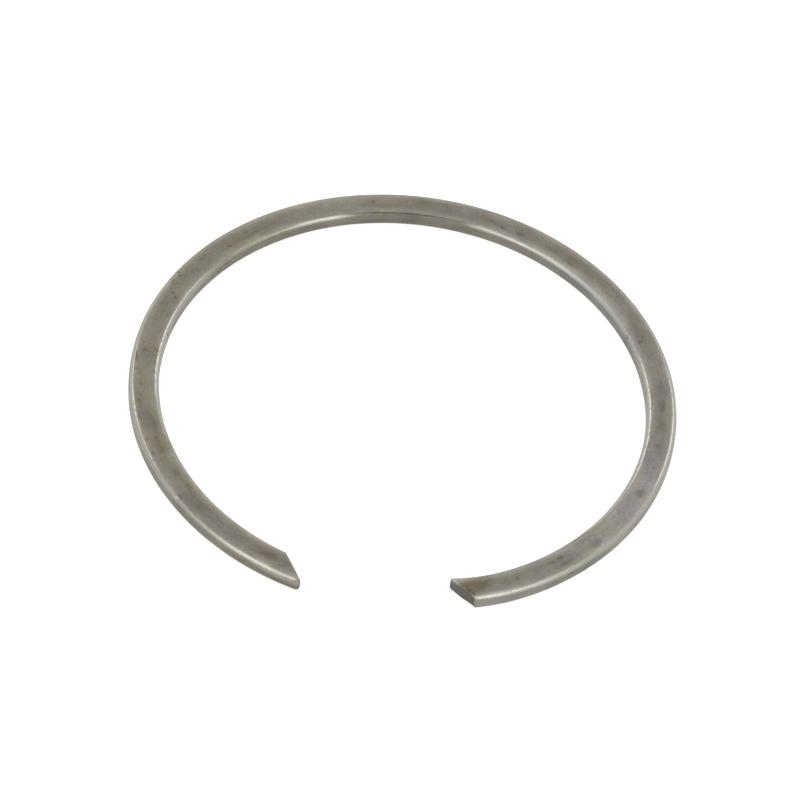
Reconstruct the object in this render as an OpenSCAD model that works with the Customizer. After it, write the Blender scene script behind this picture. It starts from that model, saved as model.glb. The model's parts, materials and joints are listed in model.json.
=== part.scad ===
// Open retaining ring bent from flat spring wire, for a groove in a bore.
// It lies flat: its axis is Z, its mid-plane is Z = 0 and its gap faces -Y.
// Both ends are sheared across the wire on a slant, and both slants lean the
// same way round, so the left end leads with its outer corner and the right
// end with its inner corner.

/* [Ring] */
// Outside diameter of the free ring
outside_d = 57.5; // [40:0.5:90]

/* [Wire] */
// Width of the wire, measured along the ring's radius
wire_w = 3.2; // [2:0.1:5]
// Thickness of the wire, measured along the ring's axis
wire_t = 1.6; // [1.2:0.1:3]
// Radius of the wire's four rolled edges
edge_r = 0.45; // [0.1:0.05:0.55]

/* [Gap] */
// Angle from the middle of the gap to the left end, at the wire's middle
left_at = 18.5; // [10:0.1:30]
// Angle from the middle of the gap to the right end, at the wire's middle
right_at = 18.6; // [10:0.1:30]

/* [Ends] */
// Slant of the left cut, from square across the wire
left_slant = 48; // [10:1:52]
// Slant of the right cut, from square across the wire
right_slant = 36; // [10:1:52]
// Radius that blunts the left end's sharp outer corner, seen from above
left_tip_r = 0.4; // [0.1:0.05:0.6]
// Radius that blunts the right end's sharp inner corner, seen from above
right_tip_r = 0.3; // [0.1:0.05:0.6]
// Radius on the blunt corner of both ends, seen from above
heel_r = 0.3; // [0.1:0.05:0.5]
// Depth of the break along the top and bottom edge of each cut face
edge_break = 0.12; // [0.05:0.01:0.3]

/* [Hidden] */

$fn = 96;
spring_steel = [0.49, 0.475, 0.44];

outer_r = outside_d / 2;
inner_r = outer_r - wire_w;
mid_r = outer_r - wire_w / 2;

// Long enough to pass right over the ring
reach = outside_d;
// The gap is looked for only this far from the ring's axis, on the -Y side
gap_from = mid_r / 2;
// How far a corner tool is stretched from its rounding, to clear the wire
stretch = 2;

// Section of the wire: X is the ring's radius and Y its axis
module wire_section() {
    translate([inner_r, -wire_t / 2]) {
        translate([edge_r, 0]) square([wire_w - 2 * edge_r, wire_t]);
        translate([0, edge_r]) square([wire_w, wire_t - 2 * edge_r]);
        for (x = [edge_r, wire_w - edge_r], y = [edge_r, wire_t - edge_r])
            translate([x, y]) circle(edge_r);
    }
}

// Puts its children on a cut: X runs outwards along the cut face and Y across
// it, and the middle of the wire is at the origin
module on_cut(at, slant) {
    rotate(at - 90) translate([mid_r, 0]) rotate(slant) children();
}

// Centre of the ring, as seen from a cut
function ring_centre(slant) = mid_r * [-cos(slant), sin(slant)];

// Where the line at height y along a cut crosses the circle of radius r
function cut_x(r, y, slant) =
    let (centre = ring_centre(slant)) centre.x + sqrt(r ^ 2 - (y - centre.y) ^ 2);

// What one corner of an end loses when it is rounded with radius r. The wire
// lies on the cut's side, +1 or -1 in Y, and is bounded there by the ring's
// rim: inside it for inward = 1 and outside it for inward = -1
module corner_tool(slant, side, rim, inward, r) {
    ring = ring_centre(slant);
    inset = rim - inward * r;
    centre = [cut_x(inset, side * r, slant), side * r];
    on_face = [centre.x, 0];
    corner = [cut_x(rim, 0, slant), 0];
    on_rim = ring + (centre - ring) * rim / inset;
    difference() {
        polygon([for (p = [centre, on_face, corner, on_rim]) centre + stretch * (p - centre)]);
        translate(centre) circle(r);
    }
}

// Everything beyond a cut, with what its two rounded corners lose
module beyond_cut(slant, side, outer_corner_r, inner_corner_r) {
    translate([-reach, side > 0 ? -reach : 0]) square([2 * reach, reach]);
    corner_tool(slant, side, outer_r, 1, outer_corner_r);
    corner_tool(slant, side, inner_r, -1, inner_corner_r);
}

// The gap, seen from above
module gap_outline() {
    intersection() {
        on_cut(-left_at, left_slant) beyond_cut(left_slant, -1, left_tip_r, heel_r);
        on_cut(right_at, right_slant) beyond_cut(right_slant, 1, heel_r, right_tip_r);
        translate([-reach, -reach - gap_from]) square([2 * reach, reach]);
    }
}

// Bars that break the top and bottom edge of a cut face
module edge_bars(slant) {
    bar = edge_break * sqrt(2);
    for (z = [-wire_t / 2, wire_t / 2])
        translate([0, 0, z]) rotate([45, 0, 0])
            cube([2 * wire_w / cos(slant), bar, bar], center = true);
}

module retaining_ring() {
    color(spring_steel) difference() {
        rotate_extrude() wire_section();
        linear_extrude(2 * wire_t, center = true) gap_outline();
        on_cut(-left_at, left_slant) edge_bars(left_slant);
        on_cut(right_at, right_slant) edge_bars(right_slant);
    }
}

retaining_ring();
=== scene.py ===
"""Looks of the open retaining ring: the bent wire with its worn edges, its marks and its steel."""

import json
import math

import bpy
import numpy as np
from mathutils import Matrix, Vector


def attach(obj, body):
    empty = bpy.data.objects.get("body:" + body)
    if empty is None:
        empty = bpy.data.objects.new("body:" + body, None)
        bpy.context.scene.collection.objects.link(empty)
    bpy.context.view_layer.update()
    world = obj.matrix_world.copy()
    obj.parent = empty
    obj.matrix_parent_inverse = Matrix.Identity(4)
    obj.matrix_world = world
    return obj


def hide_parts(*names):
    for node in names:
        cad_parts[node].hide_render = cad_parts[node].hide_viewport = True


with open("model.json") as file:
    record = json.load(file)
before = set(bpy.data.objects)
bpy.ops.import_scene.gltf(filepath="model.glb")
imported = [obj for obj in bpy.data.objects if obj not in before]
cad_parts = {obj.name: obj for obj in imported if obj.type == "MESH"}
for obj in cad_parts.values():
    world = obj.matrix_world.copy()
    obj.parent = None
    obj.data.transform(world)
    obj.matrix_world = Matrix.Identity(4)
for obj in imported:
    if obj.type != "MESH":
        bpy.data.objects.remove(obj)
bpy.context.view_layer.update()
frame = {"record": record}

MM = 0.001

# The wire in millimetres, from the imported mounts: its two rims and its upper face
MOUNTS = {mount["name"]: mount for mount in frame["record"]["mounts"]}
OUTER_R = MOUNTS["outer_rim"]["dims"]["r_mm"]
INNER_R = MOUNTS["inner_rim"]["dims"]["r_mm"]
WIRE_T = 2 * MOUNTS["upper_face"]["pos_m"][2] / MM
WIRE_W = OUTER_R - INNER_R
MID_R = (OUTER_R + INNER_R) / 2
# Radius of the rolled edges, as the CAD has it, and what they leave of a flat face
# and of a wall on each side of its middle
EDGE_R = 0.45
HALF_FACE = WIRE_W / 2 - EDGE_R
HALF_WALL = WIRE_T / 2 - EDGE_R
# The way round the section, from the middle of the top face to that of the bottom
HALF_WAY = 2 * (HALF_FACE + HALF_WALL) + math.pi * EDGE_R

# The two ends, in millimetres and degrees. For each: where the cut crosses the middle
# of the wire, its slant, the side of the cut that the wire lies on, and how its outer
# and inner corners are blunted seen from above. Then, at the inner corner, in the
# middle and at the outer corner, how far its top edge is rounded off and what share of
# that its bottom edge has. Last, how bare its sheared face still is, and how its rim
# shines at the inner and the outer corner
ENDS = {
    "left": {
        "at": 251.5,
        "slant": 48,
        "side": -1,
        "blunt": (0.4, 0.3),
        "worn": (0.2, 0.4, 0.7),
        "below": (0.65, 0.65, 0.65),
        "bare": 0.35,
        "shine": (0.4, 0.15),
    },
    "right": {
        "at": -71.4,
        "slant": 36,
        "side": 1,
        "blunt": (0.3, 0.3),
        "worn": (0.42, 0.22, 0.1),
        "below": (0.7, 0.9, 3.2),
        "bare": 1.0,
        "shine": (0.5, 0.0),
    },
}
# How far the rounding of an end's top or bottom edge follows its circle, as a share of
# the circle's radius
ROUND_SHARE = 0.95
# Where a sheared face turns into its rounded rims: between these shares of the
# blunting of its corners, and of the rounding of its top and bottom edges
BARE_CORNER = (0.3, 0.8)
BARE_EDGE = (0.3, 0.9)
# How near to an end's own surface its points lie, in mm
ON_END = 0.001
# The right end springs inwards a little: over how many degrees, and how far in mm
BEND_DEG = 13
BEND = 0.27

# How finely the wire is divided: along it, over a face and over a rolled edge, and how
# finely the parts of an end's outline are. The levels are the rows of an end face, as
# shares of its half height
STEPS_ALONG = 1000
STEPS_FACE = 16
STEPS_EDGE = 8
STEPS_OUTLINE = 60
LEVELS = np.array([-1, -0.965, -0.9, -0.8, -0.66, -0.45, -0.2, 0, 0.2, 0.45, 0.66, 0.8, 0.9, 0.965, 1])
# Degrees of ring over which the slant of an end fades into square rows
FADE_DEG = 15

# Relief, in mm: how far the borders of a flat face drop below its middle, how far it
# rolls over beside its edges and over what width, and the tilts between which both
# die out on a rolled edge
CROWN = 0.010
SHOULDER = 0.025
SHOULDER_W = 0.32
FLAT_ENDS = (0.5, 1.0)
# How much fuller than a plain arc the rolled edges are, above and below
FULL_ABOVE = 0.012
FULL_BELOW = 0.035
# Slow waves that rolling and coiling left: their height, the lengths that they have,
# the length from which they reach that height, and their largest twist across the wire
# in radians a millimetre
WAVE = 0.005
WAVE_LENGTHS = (31, 19, 11, 7, 4.3, 2.9)
FULL_WAVE = 12
WAVE_TWIST = 0.9
# A skin that keeps it all inside the solid
SKIN = 0.006
# Seed of the waves and of the strewn dents
SEED = 11

# Dents and chips: angle, distance across the wire from the middle of its top face
# (outwards positive), length, width and depth in mm, and lean in degrees
DENTS = [
    (203.4, 1.30, 0.55, 0.26, 0.050, 20),
    (220.6, 1.34, 0.75, 0.34, 0.060, -10),
    (218.0, 1.60, 0.40, 0.30, 0.030, 0),
    (177.8, 1.36, 0.45, 0.24, 0.045, 15),
    (175.4, 1.28, 0.35, 0.22, 0.040, -20),
    (173.9, 1.42, 0.30, 0.22, 0.030, 0),
    (176.9, -1.30, 0.40, 0.24, 0.040, 0),
    (170.8, -1.60, 0.40, 0.26, 0.045, 10),
    (145.7, -2.20, 0.35, 0.30, 0.045, 0),
    (152.9, 1.20, 0.30, 0.30, 0.030, 60),
    (138.5, -0.35, 0.20, 0.75, 0.020, -32),
    (26.0, -0.35, 0.20, 0.45, 0.020, 10),
    (28.5, -1.50, 0.40, 0.26, 0.035, 0),
    (298.9, 1.42, 0.45, 0.30, 0.045, 25),
    (312.7, 2.10, 0.45, 0.35, 0.040, 10),
    (309.0, 2.15, 0.40, 0.30, 0.040, 0),
    (316.5, -1.45, 0.50, 0.26, 0.035, 0),
    (206.7, -1.25, 0.45, 0.24, 0.035, 0),
]
# Small dents strewn along all four rolled edges: their number, and the limits of their
# length, width and depth in mm and of their lean
STREWN_DENTS = 70
STREWN_LENGTH = (0.25, 0.7)
STREWN_WIDTH = (0.2, 0.3)
STREWN_DEPTH = (0.006, 0.022)
STREWN_LEAN = (-30, 30)
# How steeply a dent or a mark ends
SPOT_FALL = 2.5

# Marks on the steel by kind, in order round the ring from the left end: angle, distance
# across the wire, length, width, lean and strength. The dark, brown and ochre ones are
# stains and dull patches, and some of the dark ones are painted shade, low on the walls,
# on the nose of the left end and along the inner edge at the back. The cool ones are
# patches of another tint, and the pale ones painted sheen and highlights
MARKS = {
    "dark": [
        # Painted shade: these three darken the nose of the left end and the foot of its outer wall
        (254.9, 1.70, 1.1, 2.4, 0, 0.75),
        (254.2, 2.45, 1.7, 0.80, 0, 0.8),
        (249.5, 2.45, 5.5, 0.9, 0, 0.7),
        (245.4, -0.30, 1.8, 1.0, 0, 0.35),
        # Painted shade low on the outer wall
        (243.0, 2.35, 10.0, 0.70, 0, 0.45),
        (236.0, -0.80, 1.4, 0.5, 0, 0.3),
        # Painted shade low on the outer wall
        (228.0, 2.20, 11.0, 1.3, 0, 0.30),
        (220.3, 0.95, 1.2, 0.5, 0, 0.8),
        (218.5, -0.50, 0.5, 0.4, 0, 0.5),
        (207.4, 0.82, 0.8, 0.45, 0, 0.8),
        (206.7, -1.10, 0.9, 0.35, 0, 0.8),
        (205.5, -0.50, 3.4, 2.2, 0, 0.35),
        (203.4, -1.12, 0.7, 0.35, 0, 0.7),
        (203.1, 0.78, 0.5, 0.45, 0, 0.9),
        (200.5, -0.65, 4.5, 1.3, 0, 0.3),
        (200.5, 1.20, 6.0, 0.35, 0, 0.3),
        (196.4, 0.85, 1.3, 0.18, 0, 0.6),
        (187.3, 0.30, 0.6, 0.5, 0, 0.7),
        (183.4, -0.98, 0.7, 0.14, 0, 0.6),
        (182.7, 0.90, 0.4, 0.45, 0, 0.7),
        (180.6, -1.02, 0.9, 0.14, 0, 0.6),
        (178.4, 1.10, 1.3, 0.30, 0, 1.0),
        (178.2, -1.08, 0.6, 0.14, 0, 0.6),
        (177.0, 0.35, 0.5, 0.4, 0, 0.4),
        (170.8, -1.60, 0.55, 0.35, 0, 1.0),
        (159.7, -0.35, 0.7, 0.5, -40, 0.8),
        (158.7, 0.20, 0.7, 0.45, -50, 0.75),
        (153.5, 0.80, 0.7, 0.35, 30, 1.0),
        (152.9, 1.15, 0.35, 0.6, 0, 1.0),
        (145.7, -2.20, 0.45, 0.45, 0, 1.0),
        (139.0, -0.30, 0.30, 1.1, -32, 0.7),
        (138.0, -0.75, 0.4, 0.4, 0, 0.45),
        (133.5, 0.35, 0.6, 0.7, -20, 0.6),
        (102.5, 0.25, 0.9, 0.5, -35, 0.8),
        # Painted shade: a dark line along the inner edge at the back, and the foot of the inner wall there
        (96.0, -1.32, 12.5, 0.50, 0, 1.0),
        (94.0, -2.25, 10.0, 1.5, 0, 0.3),
        (84.5, -1.38, 6.5, 0.36, 0, 0.6),
        (75.2, 0.05, 0.7, 0.45, 0, 0.5),
        (72.3, -0.35, 0.8, 0.55, 0, 0.75),
        (68.2, -0.28, 1.3, 0.75, 0, 0.7),
        (53.9, -0.45, 0.8, 0.4, 0, 0.9),
        (41.0, 0.85, 10.0, 0.9, 0, 0.3),
        (28.5, -1.50, 0.8, 0.35, 0, 0.7),
        (27.3, 0.05, 0.6, 0.30, 0, 0.5),
        (26.1, -0.35, 0.32, 0.9, 8, 1.0),
        (12.0, 0.10, 2.6, 0.9, 0, 0.3),
        (6.7, 0.00, 2.8, 0.9, 0, 0.6),
        (0.8, 0.00, 2.2, 0.8, 0, 0.3),
        (340.0, 0.18, 1.7, 1.4, 0, 0.75),
        (322.1, 0.42, 2.0, 1.2, 0, 0.75),
        # Painted shade low on the outer wall
        (317.0, 2.20, 11.0, 1.3, 0, 0.42),
        (313.2, 0.55, 2.4, 0.7, 0, 0.5),
        (312.7, 2.00, 1.0, 0.7, 0, 0.9),
        (310.8, -0.15, 0.35, 0.35, 0, 0.6),
        (309.0, 2.10, 0.8, 0.6, 0, 0.8),
        (307.0, -0.75, 6.5, 1.6, 0, 0.4),
        (306.4, -0.10, 1.6, 0.9, 0, 0.3),
        (301.2, -0.05, 0.6, 0.5, 0, 0.75),
        (298.6, 0.20, 1.5, 0.9, 0, 0.4),
        (293.2, 0.10, 0.5, 0.4, 0, 0.75),
        (291.5, -0.20, 5.6, 2.5, -15, 0.50),
        (290.1, 0.55, 0.8, 1.7, -36, 1.0),
    ],
    "brown": [
        (244.2, -0.30, 3.4, 1.5, 0, 0.65),
        (241.5, 0.50, 1.2, 0.6, 0, 0.4),
        (231.6, -0.30, 0.9, 0.6, 0, 0.4),
        (224.7, 0.00, 0.9, 0.9, 0, 0.5),
        (219.0, -0.60, 1.4, 0.9, 0, 0.55),
        (214.0, -0.50, 1.4, 0.8, 0, 0.6),
        (206.5, -0.20, 1.8, 1.4, 0, 0.4),
        (203.1, -0.20, 0.7, 0.55, 0, 0.9),
        (192.1, 0.60, 0.6, 0.5, 0, 0.95),
        (180.0, 1.02, 1.8, 0.5, 0, 1.0),
        (177.2, 0.20, 0.8, 0.8, 0, 0.7),
        (176.5, -0.95, 0.9, 0.45, 0, 0.7),
        (160.5, -0.60, 1.2, 0.7, 0, 0.5),
        (155.6, 0.95, 1.0, 0.35, 0, 0.8),
        (91.0, 0.70, 2.0, 0.8, 0, 0.4),
        (86.5, 0.60, 2.6, 0.8, 0, 0.4),
        (76.8, 0.10, 1.6, 0.6, 0, 0.5),
        (55.0, 0.00, 1.8, 1.3, 0, 0.65),
        (55.0, 0.20, 16.0, 2.0, 0, 0.25),
        (47.0, 0.60, 9.0, 1.3, 0, 0.35),
        (30.5, -0.10, 2.4, 1.2, 0, 0.2),
        (354.6, -0.10, 1.0, 0.7, 0, 0.5),
        (312.9, -0.40, 1.1, 0.9, 0, 1.0),
        (310.3, -0.30, 1.5, 0.40, 12, 0.9),
        (297.0, 0.00, 8.0, 2.4, 0, 0.35),
        (293.6, -0.20, 2.2, 1.6, 0, 0.3),
        (291.0, -0.10, 5.6, 2.6, -15, 1.0),
        (290.6, 0.30, 1.9, 2.6, -36, 0.9),
    ],
    "ochre": [
        (167.3, 0.55, 1.8, 0.5, 0, 0.8),
        (162.5, 0.45, 1.5, 0.7, 0, 0.8),
        (150.0, 0.75, 1.4, 0.4, 0, 0.8),
    ],
    "cool": [
        (250.5, 0.60, 5.5, 2.6, 0, 0.9),
        (249.0, 2.10, 8.0, 1.4, 0, 0.8),
        (245.5, 0.85, 7.0, 0.9, 0, 0.9),
        (238.0, 0.75, 0.9, 0.5, 0, 0.7),
        (230.0, 0.00, 20.0, 2.8, 0, 0.85),
        (217.0, 2.15, 24.0, 1.6, 0, 1.0),
        (48.0, -1.05, 32.0, 1.0, 0, 0.9),
        (40.0, -2.00, 28.0, 1.6, 0, 0.9),
        (347.3, 0.10, 2.0, 0.9, 0, 0.8),
        (321.0, 0.55, 1.2, 0.6, 0, 0.5),
        (317.0, 2.15, 11.0, 1.6, 0, 0.6),
        (306.9, -0.20, 2.2, 1.1, 0, 0.9),
        (296.3, 0.60, 0.9, 0.4, 0, 0.7),
    ],
    "pale": [
        # Painted sheen and highlights: broad patches and thin streaks
        (250.5, 1.78, 4.5, 1.15, 0, 0.9),
        (247.6, 1.72, 4.4, 0.90, 0, 0.8),
        (245.5, 1.08, 3.0, 0.36, 0, 0.9),
        (242.5, 0.80, 7.0, 1.0, 0, 0.5),
        (212.0, 2.20, 7.0, 1.2, 0, 0.3),
        (194.0, 1.15, 6.0, 0.22, 0, 0.9),
        (177.0, -1.25, 17.0, 0.25, 0, 1.0),
        (174.0, 0.10, 4.0, 2.4, 0, 0.35),
        (172.5, -2.10, 9.0, 1.2, 0, 0.8),
        (155.0, -2.15, 8.0, 1.2, 0, 0.35),
        (137.0, -0.90, 13.0, 1.1, 0, 0.4),
        (110.0, 0.10, 6.0, 2.4, 0, 0.4),
        (60.0, -2.10, 16.0, 1.30, 0, 0.35),
        (47.0, -1.00, 30.0, 1.2, 0, 0.8),
        (42.0, -0.80, 24.0, 1.3, 0, 0.6),
        (40.0, -2.20, 26.0, 1.0, 0, 0.5),
        (7.0, -1.27, 20.0, 0.25, 0, 1.0),
        (6.0, 1.75, 13.0, 0.60, 0, 1.0),
        (357.0, -0.60, 7.0, 1.6, 0, 0.5),
        (352.0, 1.22, 22.0, 0.24, 0, 0.9),
        (335.5, 0.05, 21.0, 2.9, 0, 1.0),
        (297.0, 1.08, 4.6, 0.36, 0, 1.0),
    ],
}

# Stretches of the ring: the side of the wire that they lie on (outer 1, inner -1), their
# first and last angle, and a strength. They fade in and out over some degrees
STRETCH_FADE = 7
# Where a rolled edge is less burnished, and by what share
DULL_STRETCHES = [
    (1, 28, 160, 0.85),
    (1, 217, 238, 0.50),
    (1, 243, 262, 0.55),
    (1, 292, 306, 0.3),
    (-1, 56, 78, 0.3),
    (-1, 76, 113, 1.0),
    (-1, 118, 152, 0.85),
    (-1, 198, 260, 0.6),
    (-1, 283, 328, 1.0),
]
# Where a thin painted glint line runs beside a flat face. How far it lies from the middle
# of the face, its half width, both in mm, the share of that which is fully bright, and
# the tilt up to which the surface has it
PAINTED_GLINT_LINES = [(1, 173, 214, 1.0), (1, 341, 380, 0.9), (-1, 148, 194, 1.0), (-1, 338, 384, 1.0)]
LINE_AT = 1.20
LINE_W = 0.10
LINE_CORE = 0.2
LINE_TILT = 0.6
# Where an edge has a dark line of painted shade just below the flat face
PAINTED_DARK_LINES = [(-1, 74, 115, 0.36)]

# The tilts, in radians, between which the burnish and the painted dark lines come in and
# go out again on a rolled edge, and those between which the painted brightness of a wall comes in
BURNISH_IN = (0.0, 0.14)
BURNISH_OUT = (0.75, 1.5)
DARK_IN = (0.0, 0.1)
DARK_OUT = (0.7, 1.2)
WALL_IN = (0.9, 1.5)
# Share of the burnish that the edges underneath keep: they are painted darker, as painted shade near the
# floor
BURNISH_UNDER_PAINTED_SHADE = 0.15
# Painted sheen: how much brighter a flat face is painted at its borders, and how fast it gets there
BORDER_SHEEN = 0.45
SHEEN_POWER = 3
# Painted light and shade: how bright the walls are painted beside the middle of a flat face, the outer ones
# brighter than the inner
OUTER_WALL_PAINTED_LIGHT = 1.25
INNER_WALL_PAINTED_LIGHT = 1.0
# How wide the shining rims of the ends are, in mm
RIM_W = 0.09

# Linear colours of the steel: drawn faces, which are browner on the left half of the
# ring, burnished edges, painted glint lines, and sheared ends, browner towards their
# outer corners
WARM_STEEL = (0.178, 0.163, 0.133, 1)
COOL_STEEL = (0.182, 0.173, 0.157, 1)
BRIGHT_STEEL = (0.39, 0.375, 0.335, 1)
PAINTED_GLINT_COLOUR = (0.60, 0.585, 0.55, 1)
CUT_STEEL = (0.122, 0.124, 0.125, 1)
CUT_BROWN = (0.128, 0.112, 0.096, 1)
# Distances along the wire, in mm from the middle of the right, between which the steel
# turns from cool to warm, and radii between which a sheared end turns brown
WARM_FROM = (-15, 80)
BROWN_FROM = (MID_R - 0.6, MID_R + 0.4)
# Casts that the oxide has from place to place
OLIVE_CAST = (1.00, 1.005, 0.91, 1)
PLUM_CAST = (1.00, 0.985, 1.03, 1)
# What each kind of mark does to the colour under it
TINTS = {
    # Dark marks, some of them painted shade
    "dark": (0.62, 0.61, 0.58, 1),
    "brown": (0.84, 0.75, 0.63, 1),
    "ochre": (1.0, 0.92, 0.76, 1),
    "cool": (0.93, 0.96, 1.04, 1),
    # Painted sheen and highlights
    "pale": (1.34, 1.34, 1.36, 1),
}

# Noises of the steel: scale per mm, detail, and what share of that scale they have along
# the wire. They are the fine lines that drawing left, grain, slow clouds of oxide, its
# changes of cast, and what breaks up burnish, lines and marks
NOISES = {
    "lines": (4.0, 4.0, 0.10),
    "grain": (7.0, 4.0, 0.7),
    "clouds": (0.55, 3.0, 0.5),
    "casts": (0.7, 2.0, 0.6),
    "breaks": (2.6, 3.0, 1.0),
}
# What the noises do: the part of a noise that counts, and what its two ends become.
# The three tones add up to the brightness of a drawn face
CLOUD_TONE = (0.3, 0.7, -0.15, 0.17)
LINE_TONE = (0.3, 0.7, -0.08, 0.08)
GRAIN_TONE = (0.3, 0.7, 0.86, 1.14)
CAST_SHARE = (0.35, 0.65, 0.0, 1.0)
BROKEN_BURNISH = (0.3, 0.5, 0.55, 1.0)
BROKEN_LINE = (0.35, 0.5, 0.2, 1.0)
BROKEN_MARK = (0.32, 0.54, 0.65, 1.2)
LINE_ROUGHNESS = (0.3, 0.7, 0.40, 0.48)
GRAIN_ROUGHNESS = (0.3, 0.7, -0.02, 0.03)
# How much rougher burnish, marks and sheared ends are than the drawn faces
BURNISH_ROUGHER = 0.04
MARK_ROUGHER = 0.08
BARE_ROUGHER = 0.12
# Shares of lines and grain in the bump, its strength, and its depth in metres
LINE_HEIGHT = 0.6
GRAIN_HEIGHT = 0.4
BUMP_STRENGTH = 0.25
BUMP_DEPTH = 0.00002
# How far a light smears on dull and on burnished steel, and the quarter turn that makes
# it smear across the wire
SMEAR = (0.3, 0.85)
SMEAR_TURN = 0.25

# Camera, as found from the ring's outline in the photograph: degrees, metres and, for
# the lens and the sensor, millimetres
CAMERA_ELEVATION = 47.97
CAMERA_ROLL = 7.62
CAMERA_DISTANCE = 0.8688
CAMERA_ASIDE = -0.000301
CAMERA_DOWN = -0.000107
CAMERA_LENS = 374.09
CAMERA_SENSOR = 36
CAMERA_REACH = (0.05, 20)

# Two square studio lights: the directions that they stand in, their elevation, their
# distance and side in metres, and their radiance
LIGHT_AZIMUTHS = {"left_softbox": 206, "right_softbox": 334}
LIGHT_ELEVATION = 67
LIGHT_AWAY = 0.5
LIGHT_SIDE = 0.19
LIGHT_RADIANCE = 7.9

# The pale studio round the object: it is brighter high up behind, and has a dark strip
# overhead where the camera stands. The pairs say where each begins and ends in terms of
# the direction's X, Y and Z
STUDIO_LIGHT = 1.0
BACK_LIGHT = 1.38
STRIP_LIGHT = 0.36
STRIP_X = (0.15, 0.5)
STRIP_Y = (0.2, 0.5)
BACK_Y = (0.45, 0.6)
BACK_Z = (0.25, 0.45)

# The floor: half its side in metres, its grey, its roughness, and the glow that makes it
# as white as the photograph's background
FLOOR_HALF = 1.8
FLOOR_GREY = 0.35
FLOOR_ROUGHNESS = 0.9
FLOOR_GLOW = 0.76


def smooth(x, low, high):
    """0 below low, 1 above high, and an even rise between them."""
    t = np.clip((x - low) / (high - low), 0, 1)
    return t * t * (3 - 2 * t)


def band(x, rise, fall):
    """0, then 1 past the rise, then 0 again past the fall."""
    return smooth(x, *rise) * (1 - smooth(x, *fall))


def turned(points, degrees):
    """Plan points turned about the origin."""
    c, s = math.cos(math.radians(degrees)), math.sin(math.radians(degrees))
    return points @ np.array([[c, s], [-s, c]])


def corner_arc(ring, rim, inward, radius, side):
    """The rounding of one corner of an end, from the cut face to the rim."""
    inset = rim - inward * radius
    y = side * radius
    centre = np.array([ring[0] + math.sqrt(inset**2 - (y - ring[1]) ** 2), y])
    outwards = inward * (centre - ring)
    first = math.atan2(-side, 0)
    last = math.atan2(outwards[1], outwards[0])
    turn = (last - first + math.pi) % (2 * math.pi) - math.pi
    angles = first + turn * np.linspace(0, 1, STEPS_OUTLINE)
    return centre + radius * np.stack([np.cos(angles), np.sin(angles)], -1)


def end_outline(end):
    """Radius and angle along the outline of an end, from the inner to the outer rim."""
    slant = math.radians(end["slant"])
    ring = MID_R * np.array([-math.cos(slant), math.sin(slant)])
    outer_blunt, inner_blunt = end["blunt"]
    inner = corner_arc(ring, INNER_R, -1, inner_blunt, end["side"])[::-1]
    outer = corner_arc(ring, OUTER_R, 1, outer_blunt, end["side"])
    face = inner[-1] + (outer[0] - inner[-1]) * np.linspace(0, 1, STEPS_OUTLINE)[1:-1, None]
    plan = turned(np.concatenate([inner, face, outer]), end["slant"]) + [MID_R, 0]
    radius = np.hypot(plan[:, 0], plan[:, 1])
    angle = end["at"] + np.degrees(np.arctan2(plan[:, 1], plan[:, 0]))
    return np.maximum.accumulate(radius), angle


def worn_of(end, radius, z):
    """How far the top or bottom edge of an end is rounded off at this radius."""
    places = [INNER_R, MID_R, OUTER_R]
    share = np.where(z < 0, np.interp(radius, places, end["below"]), 1)
    return np.interp(radius, places, end["worn"]) * share


def end_angle(end, radius, z):
    """Angle at which the wire ends, at this radius and height."""
    angle = np.interp(radius, *end_outline(end))
    worn = worn_of(end, radius, z)
    near = np.clip((np.abs(z) - (WIRE_T / 2 - worn)) / worn, 0, 1)
    back = worn * (1 - np.sqrt(1 - (ROUND_SHARE * near) ** 2))
    return angle + end["side"] * np.degrees(back / (MID_R * math.cos(math.radians(end["slant"]))))


def bare_share(end, radius, z):
    """1 on the sheared face of an end and 0 on its rounded rims and corners."""
    outer_blunt, inner_blunt = end["blunt"]
    worn = worn_of(end, radius, z)
    little, much = BARE_CORNER
    inside = smooth(radius, INNER_R + little * inner_blunt, INNER_R + much * inner_blunt)
    inside = inside * (1 - smooth(radius, OUTER_R - much * outer_blunt, OUTER_R - little * outer_blunt))
    little, much = BARE_EDGE
    inside = inside * (1 - smooth(np.abs(z), WIRE_T / 2 - much * worn, WIRE_T / 2 - little * worn))
    return end["bare"] * inside


def section():
    """Radius and height of the wire's section, as a grid of columns from the inner
    to the outer wall and rows from the bottom to the top."""
    quarter = np.linspace(0, math.pi / 2, STEPS_EDGE + 1)
    face = np.linspace(INNER_R + EDGE_R, OUTER_R - EDGE_R, STEPS_FACE + 1)[1:-1]
    edge_r = EDGE_R * (1 - np.cos(quarter))
    edge_z = HALF_WALL + EDGE_R * np.sin(quarter)
    radius = np.concatenate([INNER_R + edge_r, face, (OUTER_R - edge_r)[::-1]])
    top = np.concatenate([edge_z, np.full(len(face), WIRE_T / 2), edge_z[::-1]])
    return np.repeat(radius[:, None], len(LEVELS), 1), top[:, None] * LEVELS[None, :]


def loop_of(columns, rows):
    """Places in the section's grid once round the wire: from the inner top corner
    over the top face, down the outer wall, back underneath and up the inner wall."""
    over = [(c, rows - 1) for c in range(columns)]
    down = [(columns - 1, r) for r in range(rows - 2, 0, -1)]
    under = [(c, 0) for c in range(columns - 1, -1, -1)]
    up = [(0, r) for r in range(1, rows - 1)]
    return over + down + under + up


def past_core(radius, z):
    """How far out and up a place is from the core that the rolled edges turn about."""
    return np.clip(np.abs(radius - MID_R) - HALF_FACE, 0, EDGE_R), np.clip(np.abs(z) - HALF_WALL, 0, EDGE_R)


def tilt_of(radius, z):
    """How far the surface of the section leans from level, in radians."""
    return np.arctan2(*past_core(radius, z))


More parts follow.
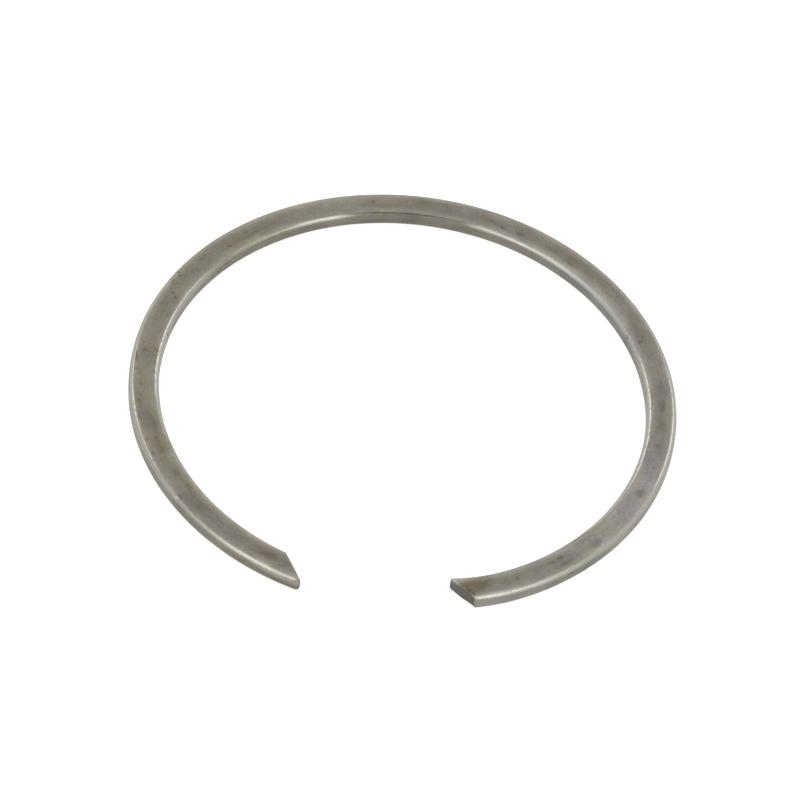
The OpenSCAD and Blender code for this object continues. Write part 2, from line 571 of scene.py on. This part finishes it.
def across_of(radius, z):
    """Distance round the wire from the middle of its top face, outwards positive."""
    tilt = tilt_of(radius, z)
    walk = np.minimum(np.abs(radius - MID_R), HALF_FACE) + EDGE_R * tilt
    on_wall = np.isclose(tilt, math.pi / 2)
    walk = walk + np.where(on_wall, HALF_WALL - np.clip(z, -HALF_WALL, HALF_WALL), 0)
    below = (z < 0) & ~on_wall
    return np.sign(radius - MID_R) * np.where(below, HALF_WAY - walk, walk)


def wire_angles(loop_r, loop_z):
    """Angles of the rows along the wire, square in the middle and slanted at the ends."""
    left, right = ENDS["left"], ENDS["right"]
    base = np.linspace(right["at"], left["at"], STEPS_ALONG + 1)[:, None]
    near_right = np.clip(1 - (base - right["at"]) / FADE_DEG, 0, 1) ** 2
    near_left = np.clip(1 - (left["at"] - base) / FADE_DEG, 0, 1) ** 2
    off_right = end_angle(right, loop_r, loop_z) - right["at"]
    off_left = end_angle(left, loop_r, loop_z) - left["at"]
    return base + near_right * off_right + near_left * off_left


def swept_wire():
    """Points of the wire as radius, angle and height, its faces, and which points lie on its ends."""
    grid_r, grid_z = section()
    columns, rows = grid_r.shape
    loop = loop_of(columns, rows)
    loop_r = np.array([grid_r[at] for at in loop])
    loop_z = np.array([grid_z[at] for at in loop])
    angle = wire_angles(loop_r, loop_z)
    count = len(loop)
    radius = np.tile(loop_r, (len(angle), 1))
    z = np.tile(loop_z, (len(angle), 1))
    points = [np.stack([radius.ravel(), angle.ravel(), z.ravel()], -1)]
    row, col = np.meshgrid(np.arange(STEPS_ALONG), np.arange(count), indexing="ij")
    here, beside = row * count + col, row * count + (col + 1) % count
    faces = [np.stack([here, beside, beside + count, here + count], -1).reshape(-1, 4)]

    # The inside of the section's grid closes each end
    total = angle.size
    inside = [(c, r) for c in range(1, columns - 1) for r in range(1, rows - 1)]
    in_r = np.array([grid_r[at] for at in inside])
    in_z = np.array([grid_z[at] for at in inside])
    for name, first, order in (("right", 0, 1), ("left", STEPS_ALONG * count, -1)):
        number = {at: first + i for i, at in enumerate(loop)}
        number.update({at: total + i for i, at in enumerate(inside)})
        total += len(inside)
        points.append(np.stack([in_r, end_angle(ENDS[name], in_r, in_z), in_z], -1))
        quads = [
            [number[c, r], number[c + 1, r], number[c + 1, r + 1], number[c, r + 1]][::order]
            for c in range(columns - 1)
            for r in range(rows - 1)
        ]
        faces.append(np.array(quads))
    on_end = np.zeros(total, bool)
    on_end[angle.size:] = True
    return np.concatenate(points), np.concatenate(faces), on_end


def face_offset(across):
    """Distance from the middle of the nearer flat face, round the wire."""
    return np.minimum(np.abs(across), HALF_WAY - np.abs(across))


def spot(angle, across, at_angle, at_across, length, width, lean):
    """1 in the middle of a spot on the wire and 0 outside it, as a soft ellipse."""
    turn = (angle - at_angle + 180) % 360 - 180
    along = np.radians(turn) * MID_R
    off = across - at_across
    c, s = math.cos(math.radians(lean)), math.sin(math.radians(lean))
    x, y = along * c + off * s, off * c - along * s
    return np.exp(-SPOT_FALL * ((2 * x / length) ** 2 + (2 * y / width) ** 2) ** 2)


def strewn_dents(rng):
    """Small dents at random places on the rolled edges, in the same terms as DENTS."""
    edges = np.array([HALF_FACE, HALF_FACE + 2 * HALF_WALL + math.pi * EDGE_R / 2])
    for _ in range(STREWN_DENTS):
        at = rng.uniform(ENDS["right"]["at"], ENDS["left"]["at"])
        where = rng.choice([-1, 1]) * (rng.choice(edges) + rng.uniform(0, EDGE_R))
        length, width = rng.uniform(*STREWN_LENGTH), rng.uniform(*STREWN_WIDTH)
        depth, lean = rng.uniform(*STREWN_DEPTH), rng.uniform(*STREWN_LEAN)
        yield at, where, length, width, depth, lean


def relief(angle, across, tilt, above):
    """How far the surface stands off the plain section, in mm. It never stands proud
    of the flat faces and the walls."""
    rng = np.random.default_rng(SEED)
    along = np.radians(angle) * MID_R
    offset = face_offset(across)
    fade = np.cos(tilt) * (1 - smooth(tilt, *FLAT_ENDS))
    height = -CROWN * np.clip(offset / HALF_FACE, 0, 1) ** 2 * fade
    height -= SHOULDER * np.clip((offset - HALF_FACE) / SHOULDER_W + 1, 0, 1) ** 2 * fade
    height += np.where(above, FULL_ABOVE, FULL_BELOW) * np.sin(2 * tilt) ** 2
    for wavelength in WAVE_LENGTHS:
        phase, twist = rng.uniform(0, 2 * math.pi), rng.uniform(-WAVE_TWIST, WAVE_TWIST)
        wave = np.sin(2 * math.pi * along / wavelength + phase + twist * across)
        height += WAVE * min(1, wavelength / FULL_WAVE) * (wave - 1) / 2
    for at, where, length, width, depth, lean in [*strewn_dents(rng), *DENTS]:
        height -= depth * spot(angle, across, at, where, length, width, lean)
    return height - SKIN


def ring_places(radius, angle, z):
    """Points of the ring with its relief and the bend of its right end, in metres."""
    tilt = tilt_of(radius, z)
    lift = relief(angle, across_of(radius, z), tilt, z > 0)
    lift = lift * smooth(np.hypot(*past_core(radius, z)), 0, EDGE_R)
    bend = BEND * np.maximum(1 - (angle - ENDS["right"]["at"]) / BEND_DEG, 0) ** 2
    radius_now = radius + lift * np.sin(tilt) * np.sign(radius - MID_R) - bend
    z_now = z + lift * np.cos(tilt) * np.sign(z)
    turn = np.radians(angle)
    return np.stack([radius_now * np.cos(turn), radius_now * np.sin(turn), z_now], -1) * MM


def strengths(stretches, radius, angle):
    """The strength of each stretch at each point: 0 outside it, fading in and out."""
    for side, start, stop, strength in stretches:
        turned_by = (angle - start) % 360
        length = stop - start
        within = band(turned_by, (0, STRETCH_FADE), (length - STRETCH_FADE, length))
        yield strength * within * (np.sign(radius - MID_R) == side)


def edge_masks(radius, angle, z):
    """How burnished the wire is at each point, with its painted sheen, light and shade and
    its painted glint lines. The rolled edges shine most beside the flat faces, which have painted sheen
    towards them."""
    tilt, offset = tilt_of(radius, z), face_offset(across_of(radius, z))
    # Painted shade: the edges underneath keep only a share of the burnish
    burnish = band(tilt, BURNISH_IN, BURNISH_OUT) * np.where(z < 0, BURNISH_UNDER_PAINTED_SHADE, 1)
    for dull in strengths(DULL_STRETCHES, radius, angle):
        burnish = burnish * (1 - dull)
    # Painted sheen towards the borders of the flat faces, painted light and shade on the walls
    shade = 1 + BORDER_SHEEN * np.clip(offset / HALF_FACE, 0, 1) ** SHEEN_POWER
    painted_wall_light = np.where(radius < MID_R, INNER_WALL_PAINTED_LIGHT, OUTER_WALL_PAINTED_LIGHT)
    shade = shade + (painted_wall_light - shade) * smooth(tilt, *WALL_IN)
    # Painted dark lines of shade just below the flat face
    for dark in strengths(PAINTED_DARK_LINES, radius, angle):
        shade = shade * (1 - dark * band(tilt, DARK_IN, DARK_OUT))
    # Painted glint lines beside the flat faces
    line = np.zeros(len(radius))
    for bright in strengths(PAINTED_GLINT_LINES, radius, angle):
        line = np.maximum(line, bright * (tilt < LINE_TILT))
    return burnish, shade, line


def end_masks(radius, angle, z, on_end):
    """Which points are bare sheared steel, and how the rims round them shine."""
    bare, rim = np.zeros(len(radius)), np.zeros(len(radius))
    for end in ENDS.values():
        short = np.abs(np.radians(angle - end_angle(end, radius, z))) * MID_R
        bare = np.where(on_end & (short < ON_END), bare_share(end, radius, z), bare)
        shine = np.interp(radius, [INNER_R, OUTER_R], end["shine"])
        rim = np.maximum(rim, shine * np.exp(-((short / RIM_W) ** 2)))
    return bare, rim


def write(mesh, name, kind, values):
    """Keeps a value for each point of the mesh, for the material to read."""
    made = mesh.attributes.new(name, kind, "POINT")
    made.data.foreach_set("value" if kind == "FLOAT" else "vector", values.astype(np.float32).ravel())


def write_masks(mesh, radius, angle, z, on_end):
    """Keeps on the mesh what the steel reads: its place along the wire and its masks."""
    burnish, shade, line = edge_masks(radius, angle, z)
    bare, rim = end_masks(radius, angle, z, on_end)
    write(mesh, "wire", "FLOAT_VECTOR", np.stack([np.radians(angle) * MID_R, radius, z], -1))
    write(mesh, "line", "FLOAT", np.where(on_end, 0, line))
    write(mesh, "burnish", "FLOAT", np.maximum(np.where(on_end, 0, burnish), rim) * (1 - bare))
    write(mesh, "shade", "FLOAT", shade)
    write(mesh, "bare", "FLOAT", bare)
    across = across_of(radius, z)
    for kind, marks in MARKS.items():
        mask = np.zeros(len(radius))
        for at, where, length, width, lean, strength in marks:
            mask = np.maximum(mask, strength * spot(angle, across, at, where, length, width, lean))
        write(mesh, kind, "FLOAT", mask * (1 - bare))


def linked(name, data):
    """A new object in the scene."""
    made = bpy.data.objects.new(name, data)
    bpy.context.scene.collection.objects.link(made)
    return made


def build_ring():
    """The whole ring, as one smooth mesh."""
    points, faces, on_end = swept_wire()
    radius, angle, z = points.T
    mesh = bpy.data.meshes.new("ring_wire")
    mesh.from_pydata(ring_places(radius, angle, z).tolist(), [], faces.tolist())
    mesh.polygons.foreach_set("use_smooth", [True] * len(mesh.polygons))
    mesh.update()
    write_masks(mesh, radius, angle, z, on_end)
    return linked("ring_wire", mesh)


def add(tree, kind, inputs=None, **settings):
    """Adds a shader node. Its inputs are plain values or other nodes' outputs."""
    made = tree.nodes.new("ShaderNode" + kind)
    for name, value in settings.items():
        setattr(made, name, value)
    for key, value in (inputs or {}).items():
        if isinstance(value, bpy.types.NodeSocket):
            tree.links.new(value, made.inputs[key])
        else:
            made.inputs[key].default_value = value
    return made


def attribute(tree, name, output="Fac"):
    """What was kept on the mesh under this name."""
    return add(tree, "Attribute", attribute_name=name).outputs[output]


def math_node(tree, operation, first, second=0.0):
    """One sum. first and second are numbers or outputs."""
    return add(tree, "Math", {0: first, 1: second}, operation=operation).outputs[0]


def plus(tree, first, second):
    return math_node(tree, "ADD", first, second)


def times(tree, first, second):
    return math_node(tree, "MULTIPLY", first, second)


def ranged(tree, value, low, high, to_low, to_high):
    """value moved from one range into another, and held inside it."""
    inputs = {"Value": value, "From Min": low, "From Max": high, "To Min": to_low, "To Max": to_high}
    return add(tree, "MapRange", inputs, clamp=True).outputs["Result"]


def mixed(tree, factor, first, second, blend="MIX"):
    """Two colours mixed. factor is a number or an output."""
    return add(tree, "Mix", {0: factor, 6: first, 7: second}, data_type="RGBA", blend_type=blend).outputs[2]


def noise(tree, wire, scale, detail, along):
    """Noise of about 1 / scale mm, longer along the wire where along is under 1."""
    place = add(tree, "VectorMath", {0: wire, 1: (along, 1.0, 1.0)}, operation="MULTIPLY").outputs[0]
    return add(tree, "TexNoise", {"Vector": place, "Scale": scale, "Detail": detail}).outputs["Fac"]


def drawn_colour(tree, along, noises):
    """Colour of the drawn faces, with their lines, grain, clouds and casts, and the painted sheen, light and
    shade kept on the mesh.
    """
    tone = plus(tree, ranged(tree, noises["clouds"], *CLOUD_TONE), ranged(tree, noises["lines"], *LINE_TONE))
    tone = plus(tree, tone, ranged(tree, noises["grain"], *GRAIN_TONE))
    # The painted sheen, light and shade kept on the mesh
    tone = times(tree, tone, attribute(tree, "shade"))
    plain = mixed(tree, ranged(tree, along, *WARM_FROM, 0.0, 1.0), COOL_STEEL, WARM_STEEL)
    cast = mixed(tree, ranged(tree, noises["casts"], *CAST_SHARE), OLIVE_CAST, PLUM_CAST)
    return mixed(tree, 1.0, mixed(tree, 1.0, plain, tone, "MULTIPLY"), cast, "MULTIPLY")


def painted_glint_share(tree, outwards, breaks):
    """1 on the thin painted glint lines beside the flat faces, and 0 elsewhere."""
    off_middle = math_node(tree, "ABSOLUTE", math_node(tree, "SUBTRACT", outwards, MID_R))
    off_line = math_node(tree, "ABSOLUTE", math_node(tree, "SUBTRACT", off_middle, LINE_AT))
    on_line = ranged(tree, off_line, LINE_CORE * LINE_W, LINE_W, 1.0, 0.0)
    on_line = times(tree, on_line, ranged(tree, breaks, *BROKEN_LINE))
    return times(tree, on_line, attribute(tree, "line"))


def steel_colour(tree, wire, noises, burnish, marks):
    """Colour of the whole ring: drawn, burnished, with painted glint lines, sheared and marked, some marks
    being painted shade and sheen.
    """
    along, outwards, _ = add(tree, "SeparateXYZ", {0: wire}).outputs
    colour = mixed(tree, burnish, drawn_colour(tree, along, noises), BRIGHT_STEEL)
    # Painted glint lines
    colour = mixed(tree, painted_glint_share(tree, outwards, noises["breaks"]), colour, PAINTED_GLINT_COLOUR)
    cut = mixed(tree, ranged(tree, outwards, *BROWN_FROM, 0.0, 1.0), CUT_STEEL, CUT_BROWN)
    colour = mixed(tree, attribute(tree, "bare"), colour, cut)
    for kind, mark in marks.items():
        colour = mixed(tree, mark, colour, TINTS[kind], "MULTIPLY")
    return colour


def steel_roughness(tree, noises, burnish, marks):
    """Roughness of the whole ring."""
    any_mark = 0.0
    for mark in marks.values():
        any_mark = math_node(tree, "MAXIMUM", any_mark, mark)
    rough = plus(
        tree,
        ranged(tree, noises["lines"], *LINE_ROUGHNESS),
        ranged(tree, noises["grain"], *GRAIN_ROUGHNESS),
    )
    rough = plus(tree, rough, times(tree, burnish, BURNISH_ROUGHER))
    rough = plus(tree, rough, times(tree, any_mark, MARK_ROUGHER))
    return plus(tree, rough, times(tree, attribute(tree, "bare"), BARE_ROUGHER))


def steel_bump(tree, noises):
    """Normal of the surface with its lines and grain."""
    height = plus(tree, times(tree, noises["lines"], LINE_HEIGHT), times(tree, noises["grain"], GRAIN_HEIGHT))
    bump = add(tree, "Bump", {"Height": height, "Strength": BUMP_STRENGTH, "Distance": BUMP_DEPTH})
    return bump.outputs["Normal"]


def steel():
    """The ring's material."""
    material = bpy.data.materials.new("spring_steel")
    material.use_nodes = True
    tree = material.node_tree
    shader = tree.nodes["Principled BSDF"]
    wire = attribute(tree, "wire", "Vector")
    noises = {name: noise(tree, wire, *facts) for name, facts in NOISES.items()}
    burnish = times(tree, attribute(tree, "burnish"), ranged(tree, noises["breaks"], *BROKEN_BURNISH))
    broken = ranged(tree, noises["breaks"], *BROKEN_MARK)
    marks = {kind: times(tree, attribute(tree, kind), broken) for kind in MARKS}
    looks = {
        "Base Color": steel_colour(tree, wire, noises, burnish, marks),
        "Roughness": steel_roughness(tree, noises, burnish, marks),
        "Normal": steel_bump(tree, noises),
        "Tangent": add(tree, "Tangent", direction_type="RADIAL", axis="Z").outputs["Tangent"],
        "Anisotropic": ranged(tree, burnish, 0.0, 1.0, *SMEAR),
    }
    for name, output in looks.items():
        tree.links.new(output, shader.inputs[name])
    shader.inputs["Metallic"].default_value = 1
    shader.inputs["Anisotropic Rotation"].default_value = SMEAR_TURN
    return material


def build_camera():
    """The camera, which looks at the ring's middle and is rolled and moved aside a little."""
    data = bpy.data.cameras.new("camera")
    data.sensor_width = CAMERA_SENSOR
    data.lens = CAMERA_LENS
    data.clip_start, data.clip_end = CAMERA_REACH
    camera = linked("camera", data)
    e, r = math.radians(CAMERA_ELEVATION), math.radians(CAMERA_ROLL)
    back = Vector((0, -math.cos(e), math.sin(e)))
    level, up = Vector((1, 0, 0)), Vector((0, math.sin(e), math.cos(e)))
    right = level * math.cos(r) + up * math.sin(r)
    above = up * math.cos(r) - level * math.sin(r)
    turn = Matrix((right, above, back)).transposed().to_4x4()
    place = back * CAMERA_DISTANCE + right * CAMERA_ASIDE + above * CAMERA_DOWN
    camera.matrix_world = Matrix.Translation(place) @ turn
    bpy.context.scene.camera = camera


def build_light(name, azimuth):
    """A square studio light that faces the ring."""
    data = bpy.data.lights.new(name, "AREA")
    data.shape = "SQUARE"
    data.size = LIGHT_SIDE
    data.energy = LIGHT_RADIANCE * math.pi * LIGHT_SIDE**2
    light = linked(name, data)
    a, e = math.radians(azimuth), math.radians(LIGHT_ELEVATION)
    out = Vector((math.cos(a) * math.cos(e), math.sin(a) * math.cos(e), math.sin(e)))
    light.location = out * LIGHT_AWAY
    light.rotation_mode = "QUATERNION"
    light.rotation_quaternion = (-out).to_track_quat("-Z", "Y")


def build_world():
    """The studio's light from all round."""
    world = bpy.data.worlds.new("studio")
    world.use_nodes = True
    bpy.context.scene.world = world
    tree = world.node_tree
    where = add(tree, "TexCoord").outputs["Generated"]
    x, y, z = add(tree, "SeparateXYZ", {0: where}).outputs
    beside = ranged(tree, math_node(tree, "ABSOLUTE", x), *STRIP_X, 0.0, 1.0)
    behind = ranged(tree, y, *STRIP_Y, 0.0, 1.0)
    light = ranged(tree, math_node(tree, "MAXIMUM", beside, behind), 0.0, 1.0, STRIP_LIGHT, STUDIO_LIGHT)
    back = times(tree, ranged(tree, y, *BACK_Y, 0.0, 1.0), ranged(tree, z, *BACK_Z, 0.0, 1.0))
    light = times(tree, light, ranged(tree, back, 0.0, 1.0, 1.0, BACK_LIGHT))
    tree.links.new(light, tree.nodes["Background"].inputs["Color"])


def white_board():
    """The floor's material."""
    material = bpy.data.materials.new("floor")
    material.use_nodes = True
    shader = material.node_tree.nodes["Principled BSDF"]
    shader.inputs["Base Color"].default_value = (FLOOR_GREY, FLOOR_GREY, FLOOR_GREY, 1)
    shader.inputs["Roughness"].default_value = FLOOR_ROUGHNESS
    shader.inputs["Emission Color"].default_value = (1, 1, 1, 1)
    shader.inputs["Emission Strength"].default_value = FLOOR_GLOW
    return material


def build_floor():
    """The plain pale floor that the ring lies on."""
    side, z = FLOOR_HALF, -WIRE_T / 2 * MM
    corners = [(-side, -side, z), (side, -side, z), (side, side, z), (-side, side, z)]
    mesh = bpy.data.meshes.new("floor")
    mesh.from_pydata(corners, [], [(0, 1, 2, 3)])
    mesh.materials.append(white_board())
    floor = linked("floor", mesh)


build_camera()
bpy.context.scene.view_settings.view_transform = "Standard"
build_world()
build_floor()
for name, azimuth in LIGHT_AZIMUTHS.items():
    build_light(name, azimuth)

ring = build_ring()
ring.data.materials.append(steel())
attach(ring, "root")
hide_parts("retaining_ring")
